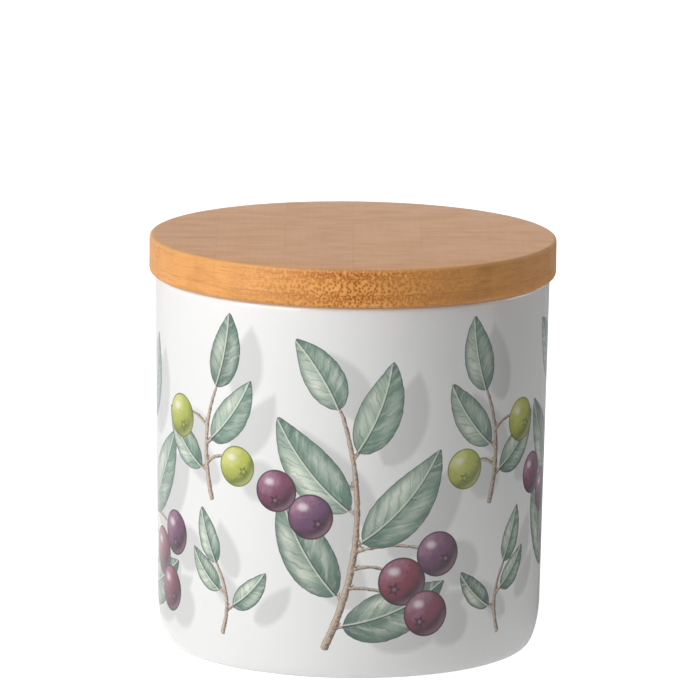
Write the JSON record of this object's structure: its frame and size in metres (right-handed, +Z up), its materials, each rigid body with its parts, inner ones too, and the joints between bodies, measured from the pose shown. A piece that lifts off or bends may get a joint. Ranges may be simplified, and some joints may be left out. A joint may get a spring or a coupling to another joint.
{
  "type": "storage jar",
  "caption": "Round porcelain storage jar with a slight taper, closed by a flat turned bamboo lid whose grooved plug carries a lipped silicone sealing ring.",
  "frame": {"origin": "middle of the jar's foot ring, on the surface that the jar stands on", "axes": "+Z up along the jar's axis; -Y faces the camera and the bamboo fibres run along Y"},
  "size_m": [0.1032, 0.1032, 0.1047],
  "materials": {
    "porcelain": "gloss",
    "bamboo": "satin",
    "silicone": "satin"
  },
  "bodies": {
    "jar": {"jar_body": "porcelain"},
    "seal": {"seal_ring": "silicone"},
    "lid": {"lid_top_strip_1": "bamboo", "lid_top_strip_2": "bamboo", "lid_top_strip_3": "bamboo", "lid_top_strip_4": "bamboo", "lid_top_strip_5": "bamboo", "lid_top_strip_6": "bamboo", "lid_lower_strip_1": "bamboo", "lid_lower_strip_2": "bamboo", "lid_lower_strip_3": "bamboo", "lid_lower_strip_4": "bamboo", "lid_lower_strip_5": "bamboo", "plug_upper_strip_1": "bamboo", "plug_upper_strip_2": "bamboo", "plug_upper_strip_3": "bamboo", "plug_upper_strip_4": "bamboo", "plug_lower_strip_1": "bamboo", "plug_lower_strip_2": "bamboo", "plug_lower_strip_3": "bamboo", "plug_lower_strip_4": "bamboo", "plug_lower_strip_5": "bamboo"}
  },
  "joints": [
    {"name": "lid_lift", "type": "slide", "parent": "jar", "child": "seal", "axis": [0, 0, 1], "range_m": [0, 0.1]},
    {"name": "lid_turn", "type": "hinge", "parent": "seal", "child": "lid", "pos_m": [0, 0, 0.09985], "axis": [0, 0, 1], "continuous": true}
  ]
}
